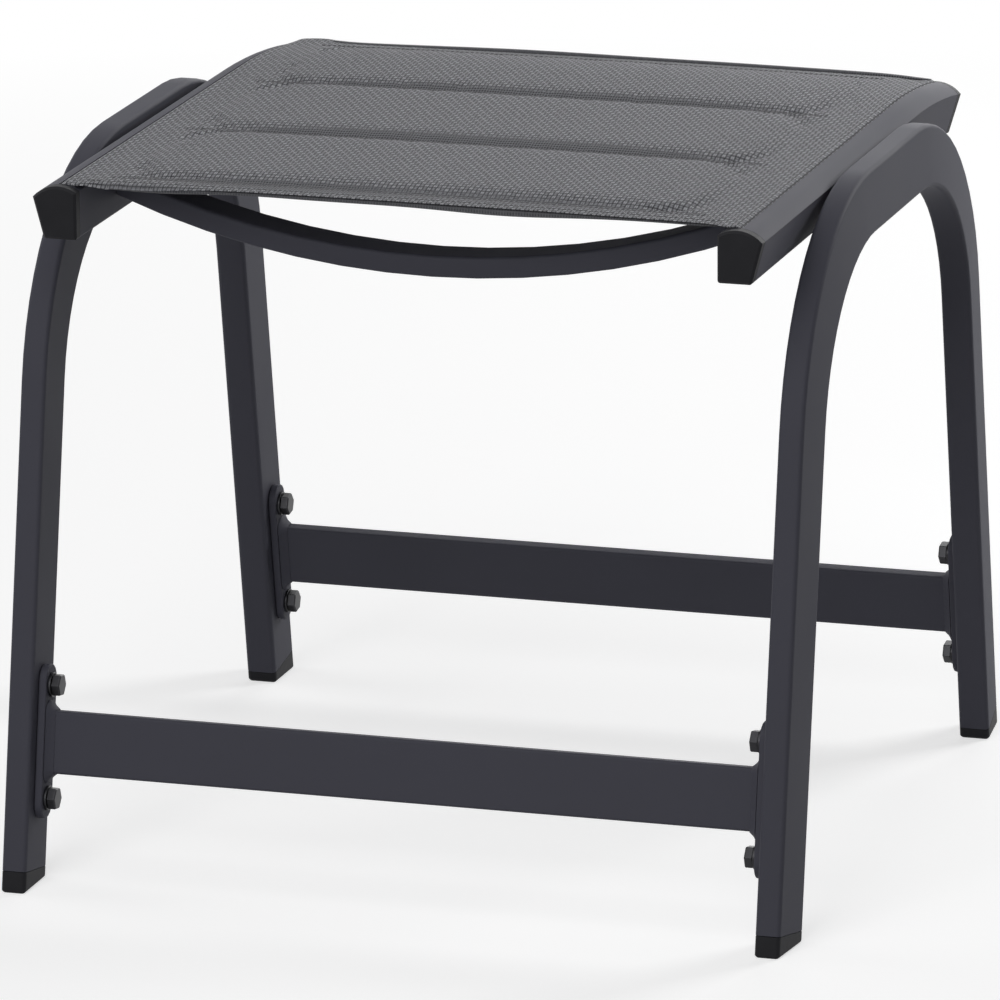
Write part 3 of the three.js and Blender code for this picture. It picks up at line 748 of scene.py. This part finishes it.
map_weave(cloth)
held_points, places = read_cloth(cloth)
seat = made_object("seat_cover", cloth, weave)
print("free points", len(places) - len(held_points), "held points", len(held_points))

# %% [markdown]
# Padding by simulation
# Foam presses the two layers apart and the sewn rows hold them together. The cloth simulation does just
# that with air pressure. Afterwards each point's travel is scaled to the depth that the foam really has,
# less above, where the cloth is stretched, and more below.

# %% Swell the panels
LAST_FRAME = 20


def swell(seat):
    rest = [vert.co.copy() for vert in seat.data.vertices]
    held = seat.vertex_groups.new(name="held")
    held.add(held_points, 1.0, "REPLACE")
    modifier = seat.modifiers.new("padding", "CLOTH")
    settings = modifier.settings
    settings.quality = 5
    settings.mass = 0.2
    settings.tension_stiffness = 12
    settings.compression_stiffness = 12
    settings.shear_stiffness = 4
    settings.bending_stiffness = 0.4
    settings.vertex_group_mass = "held"
    settings.pin_stiffness = 1.0
    settings.use_pressure = True
    settings.uniform_pressure_force = 4.0
    settings.shrink_min = -0.012
    settings.effector_weights.gravity = 0
    modifier.collision_settings.use_collision = False
    modifier.collision_settings.use_self_collision = False
    for number in range(1, LAST_FRAME + 1):
        bpy.context.scene.frame_set(number)
    shaped = seat.evaluated_get(bpy.context.evaluated_depsgraph_get())
    moved = [vert.co.copy() for vert in shaped.data.vertices]
    seat.modifiers.remove(modifier)
    seat.vertex_groups.clear()
    bpy.context.scene.frame_set(1)
    return rest, moved


# %% [markdown]
# How far the foam lets the cloth rise
# The foam's edge is squeezed to a wedge beside each seam, so the cloth climbs there at an even slope and
# then runs level. Towards the rails it has a clear edge, beside which it still thins out over a longer way.
# A soft minimum rounds the corner between slope and level.

# %% Foam depth at a place on the seat
SLOPES = (0.015, 0.015, 0.012, 0.030)
ROUNDING = 6
SIDE_EDGE = 0.014
SIDE_SLOPE = 0.075


def foam_share(x, along):
    to_seam = min(abs(along - seam) / slope for seam, slope in zip(SEAMS, SLOPES))
    inward = max(PAD_HALF - abs(x), 0)
    edge, slope = (math.sin(min(inward / width, 1) * math.pi / 2) for width in (SIDE_EDGE, SIDE_SLOPE))
    return (1 + to_seam ** -ROUNDING) ** (-1 / ROUNDING) * (0.5 * edge + 0.5 * slope)


# %% Settle the swollen cloth on the foam
CROWN = 0.0036
BELLY = 0.0085
GAIN = 2.2
SIDEWAYS = 0.3
UNMOVED = 0.000001


def settle(seat, rest, moved):
    travel = [after - before for before, after in zip(rest, moved)]
    up = max(step.z for step in travel)
    down = -min(step.z for step in travel)
    print("swelled by", round(up * 1000, 1), "mm above and", round(down * 1000, 1), "mm below")
    for vert, before, step, place in zip(seat.data.vertices, rest, travel, places):
        if step.length < UNMOVED:
            continue
        limit = (CROWN if step.z > 0 else BELLY) * foam_share(*place)
        rise = limit * math.tanh(GAIN * step.z / limit)
        vert.co = before + Vector((step.x * SIDEWAYS, step.y * SIDEWAYS, rise))


settle(seat, *swell(seat))

# %% [markdown]
# The finished cover
# One subdivision rounds the facets that the simulation leaves. The cover stands for the whole sling,
# whose solid is hidden.

def finish_seat(seat):
    smooth = seat.modifiers.new("round", "SUBSURF")
    smooth.levels = 1
    smooth.render_levels = 1
    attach(seat, "root")
    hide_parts("padded_sling")


finish_seat(seat)
print("seat cover has", len(seat.data.polygons), "faces before it is rounded")

# %% [markdown]
# Folded hems
# At the front and the rear the cloth is folded and stitched. Seen from the front, the front fold is a second,
# darker edge below the first with a thin dark line between, and it sags right of the middle and near its
# left end. Both folds are given the darker ironed tone of the weave, which is painted shade on their faces.
# The rear fold lies on top, starts right of the cover's bulky corner and flattens to the right rail, where
# its painted shade is lighter. Each fold is a flat closed tube: a grid whose short way is wrapped round the
# fold's section and whose long way crosses the seat.

# %% Section of a folded hem
HEM_SECTION = 18
HEM_STATIONS = 90
HEM_WIDTH = 0.0068
HEM_SQUARE = 0.45
HEM_ROUND = 0.7
HEM_END = 0.08
HEM_END_HEIGHT = 0.3
HEM_MERGE = 0.00001


def bent(value, power):
    return math.copysign(abs(value) ** power, value)


def round_fold(x, along, to_end, turn, lower, upper):
    angle = -math.pi * turn
    closing = HEM_END_HEIGHT + (1 - HEM_END_HEIGHT) * math.sqrt(min(to_end / HEM_END, 1))
    rise = bent(math.sin(angle), HEM_ROUND)
    drop = (lower + upper) / 2 + rise * (upper - lower) / 2 * closing + rise_at(x, along)
    return on_rail(x, along + bent(math.cos(angle), HEM_SQUARE) * HEM_WIDTH / 2, drop)


# %% One folded hem
def folded_hem(name, along, start, end, fold):
    hem = bmesh.new()
    bmesh.ops.create_grid(hem, x_segments=HEM_STATIONS, y_segments=HEM_SECTION, size=1)
    hem_map = hem.loops.layers.uv.new("weave")
    pressed_and_shaded = hem.verts.layers.float.new("pressed_and_shaded")
    across = {vert: start + (end - start) * (vert.co.x + 1) / 2 for vert in hem.verts}
    for face in hem.faces:
        for loop in face.loops:
            turned = loop.vert.co.y * HEM_WIDTH
            loop[hem_map].uv = (across[loop.vert] * MAP_SCALE, turned * MAP_SCALE)
    for vert, x in across.items():
        lower, upper, ironed_shade = fold(x)
        vert[pressed_and_shaded] = ironed_shade
        vert.co = round_fold(x, along, 1 - abs(vert.co.x), vert.co.y, lower, upper)
    bmesh.ops.remove_doubles(hem, verts=hem.verts, dist=HEM_MERGE)
    rims = [edge for edge in hem.edges if edge.is_boundary]
    bmesh.ops.holes_fill(hem, edges=rims, sides=0)
    bmesh.ops.recalc_face_normals(hem, faces=hem.faces)
    piece = made_object(name, hem, weave)
    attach(piece, "root")
    print(name, "has", len(piece.data.polygons), "faces")


# %% Front fold
FRONT_MIDDLE = 0.0049 - REACH
FRONT_ENDS = (-0.205, 0.205)
FRONT_LOWER = -0.0012
FRONT_UPPER = 0.0001
FRONT_SAGS = ((0.0031, 0.066, 0.055), (0.0013, -0.040, 0.060), (0.0022, -0.157, 0.040))
# The ironed value also gives the front fold its darker tone: painted shade on its front face.
FRONT_IRONED_SHADE = 1.6


def front_fold(x):
    sag = sum(depth * bell(x, middle, width) for depth, middle, width in FRONT_SAGS)
    return FRONT_LOWER - sag, FRONT_UPPER, FRONT_IRONED_SHADE


folded_hem("front_hem_fold", FRONT_MIDDLE, *FRONT_ENDS, front_fold)

# %% Rear fold
REAR_MIDDLE = REACH - 0.0036
REAR_ENDS = (-0.190, 0.217)
REAR_LOWER = 0.0008
REAR_UPPER = 0.0024
REAR_FULLER = 0.0010
REAR_FULLER_WIDTH = 0.03
REAR_SWELL = (0.0011, -0.060, 0.070)
REAR_FLATTER = (0.0012, 0.217, 0.022)
# The ironed value paints shade on the rear fold's front face, less towards the right rail.
REAR_IRONED_SHADE = 1.9
REAR_LESS_IRONED_SHADE = (0.7, 0.217, 0.040)


def rear_fold(x):
    fuller = REAR_FULLER * step_down(-x, 0, REAR_FULLER_WIDTH) + REAR_SWELL[0] * bell(x, *REAR_SWELL[1:])
    upper = REAR_UPPER + fuller - REAR_FLATTER[0] * bell(x, *REAR_FLATTER[1:])
    return REAR_LOWER, upper, REAR_IRONED_SHADE * (1 - REAR_LESS_IRONED_SHADE[0] * bell(x, *REAR_LESS_IRONED_SHADE[1:]))


folded_hem("rear_hem_fold", REAR_MIDDLE, *REAR_ENDS, rear_fold)

# %% [markdown]
# Stitches
# A sewn row is a line of short threads that dip into the cloth between them. One small spindle is shaped
# from a sphere and laid down again and again along a row. Each row is built by itself and then joined to
# the others, because a small mesh grows faster than a large one.

# %% One row of stitches
STITCH = 0.0026
STITCH_PITCH = 0.0034
SPINDLE = Matrix.Diagonal((STITCH / 2, 0.00026, 0.0003, 1))
STITCH_PARTS = (0.2, 0.5, 0.8)


def lay_stitch(row, place, heading):
    turn = heading.to_track_quat("X", "Z").to_matrix().to_4x4()
    bmesh.ops.create_uvsphere(
        row, u_segments=6, v_segments=4, radius=1, matrix=Matrix.Translation(place) @ turn @ SPINDLE)


def stitch_row(path, length):
    row = bmesh.new()
    count = round(length / STITCH_PITCH)
    for k in range(count):
        start, middle, end = (path((k + part) / count) for part in STITCH_PARTS)
        lay_stitch(row, middle, (end - start).normalized())
    mesh = bpy.data.meshes.new("stitch_row")
    row.to_mesh(mesh)
    row.free()
    return mesh


# %% Where the rows run
THREAD_LIFT = 0.0001
STITCH_LIFT = LIFT / 2 + CLOTH / 2 + THREAD_LIFT
SEAM_ROW_HALF = PAD_HALF + 0.004
HEM_ROW = 0.0075 - REACH
HEM_ROW_HALF = 0.205


def row_across(along, half):
    def path(part):
        x = (2 * part - 1) * half
        return on_rail(x, along, STITCH_LIFT + rise_at(x, along))
    return stitch_row(path, 2 * half)


def sew():
    sewn = [row_across(seam + offset, SEAM_ROW_HALF) for seam in SEAMS for offset in (-SEAM_HALF, SEAM_HALF)]
    sewn.append(row_across(HEM_ROW, HEM_ROW_HALF))
    stitches = bmesh.new()
    for mesh in sewn:
        stitches.from_mesh(mesh)
        bpy.data.meshes.remove(mesh)
    piece = made_object("seat_stitches", stitches, thread)
    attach(piece, "root")
    print("stitches have", len(piece.data.polygons), "faces")


sew()

# %% [markdown]
# Long lens
# The photograph is nearly without perspective, so a long lens stands far off in front and to the right, a
# little above the seat. Its place and its three directions are written out, which leaves nothing to aim.

# %% Camera
CAMERA_PLACE = Vector((1.8362693, -5.9173149, 1.8685076))
CAMERA_FORWARD = Vector((-0.28726667, 0.92207046, -0.25935290))
CAMERA_RIGHT = Vector((0.95525826, 0.29569490, -0.00679507))
CAMERA_UP = Vector((-0.07042380, 0.24970100, 0.96575872))


def long_lens():
    data = bpy.data.cameras.new("long_lens")
    data.sensor_width = 36
    data.lens = 360
    data.clip_end = 60
    camera = bpy.data.objects.new("long_lens", data)
    turn = Matrix((CAMERA_RIGHT, CAMERA_UP, -CAMERA_FORWARD)).transposed().to_4x4()
    camera.matrix_world = Matrix.Translation(CAMERA_PLACE) @ turn
    bpy.context.scene.collection.objects.link(camera)
    bpy.context.scene.camera = camera
    print("lens of", round(data.lens), "mm at", round(CAMERA_PLACE.length, 1), "m")


long_lens()

# %% [markdown]
# Soft lamps
# Five soft lamps share the light: one over the front, a broad one in front, and three weaker ones behind,
# behind to the right and at the left, which lift the frame's far sides off the background. Each is given
# by its place, what it looks at, its side and its power.

# %% Lamps
LAMPS = {
    "over_front": ((0.0, -1.2, 2.4), (0, 0, 0.4), 1.6, 12.4),
    "front": ((-0.3, -3.0, 1.6), (0, 0, 0.3), 1.5, 30),
    "behind": ((0.0, 2.2, 1.0), (0, 0, 0.4), 1.2, 11),
    "behind_right": ((0.9, 1.0, 1.0), (0.2, 0.1, 0.4), 0.5, 8.5),
    "left": ((-2.0, 0.2, 1.2), (0, 0, 0.3), 1.2, 7),
}


def soft_lamp(name, place, aim, side, power):
    data = bpy.data.lights.new(name, "AREA")
    data.shape = "RECTANGLE"
    data.size = side
    data.size_y = side
    data.energy = power
    lamp = bpy.data.objects.new(name, data)
    lamp.location = place
    lamp.rotation_euler = (Vector(aim) - Vector(place)).to_track_quat("-Z", "Y").to_euler()
    bpy.context.scene.collection.objects.link(lamp)


for name, values in LAMPS.items():
    soft_lamp(name, *values)
print("soft lamps:", len(LAMPS))

# %% [markdown]
# Pale floor
# The floor is near white. Near the stool it keeps its shadow, and further out it fades to the white of the
# surround, so no horizon shows from any side. The glow is seen only by the camera and in reflections, and
# doesn't light the stool.

# %% Floor
WHITE = (1, 1, 1, 1)
FLOOR_TONE = (0.6, 0.6, 0.6, 1)
FLOOR_GLOW = 0.6
FLOOR_HALF = 14
FADE_START = 0.7
FADE_END = 2.3


def seen_directly(finish):
    ray = finish.node("ShaderNodeLightPath", {}, {})
    seen = ray.wire("Is Camera Ray") + ray.wire("Is Glossy Ray") + ray.wire("Is Transmission Ray")
    return seen.clipped()


def glow(finish, strength):
    return finish.node("ShaderNodeEmission", {}, {"Color": WHITE, "Strength": strength}).wire("Emission")


def floor_finish():
    finish = new_finish("pale_floor")
    matt = finish.node("ShaderNodeBsdfDiffuse", {}, {"Color": FLOOR_TONE}).wire("BSDF")
    lit = finish.node("ShaderNodeAddShader", {}, {0: glow(finish, FLOOR_GLOW), 1: matt}).wire("Shader")
    parts = finish.parted(finish.coordinates("Object"))
    away = (parts.wire("X") * parts.wire("X") + parts.wire("Y") * parts.wire("Y")).power(0.5)
    far = ((away - FADE_START) / (FADE_END - FADE_START)).clipped()
    faded = finish.either(far, lit, glow(finish, 1.0))
    shader = finish.either(seen_directly(finish), matt, faded)
    finish.node("ShaderNodeOutputMaterial", {}, {"Surface": shader})
    return finish.owner


def lay_floor():
    sheet = bmesh.new()
    bmesh.ops.create_grid(sheet, x_segments=1, y_segments=1, size=FLOOR_HALF)
    floor = made_object("floor", sheet, floor_finish())
    print("floor of", 2 * FLOOR_HALF, "m")


lay_floor()

# %% [markdown]
# Surround
# The world is white where it is seen, and gives the stool only a faint cool light from all sides.

# %% White surround with a faint light
AIR_TONE = (0.9, 0.93, 1.0, 1)
AIR_STRENGTH = 0.03


def surround():
    world = bpy.data.worlds.new("surround")
    finish = Finish(world)
    soft, white = (
        finish.node("ShaderNodeBackground", {}, {"Color": tone, "Strength": strength}).wire("Background")
        for tone, strength in ((AIR_TONE, AIR_STRENGTH), (WHITE, 1.0)))
    shader = finish.either(seen_directly(finish), soft, white)
    finish.node("ShaderNodeOutputWorld", {}, {"Surface": shader})
    bpy.context.scene.world = world
    print("surround has", len(finish.tree.nodes), "nodes")


surround()
bpy.context.scene.view_settings.view_transform = "Standard"

# %% Round the corners of a box
def plain(box):
    return [[round(value, 6) for value in corner] for corner in box]
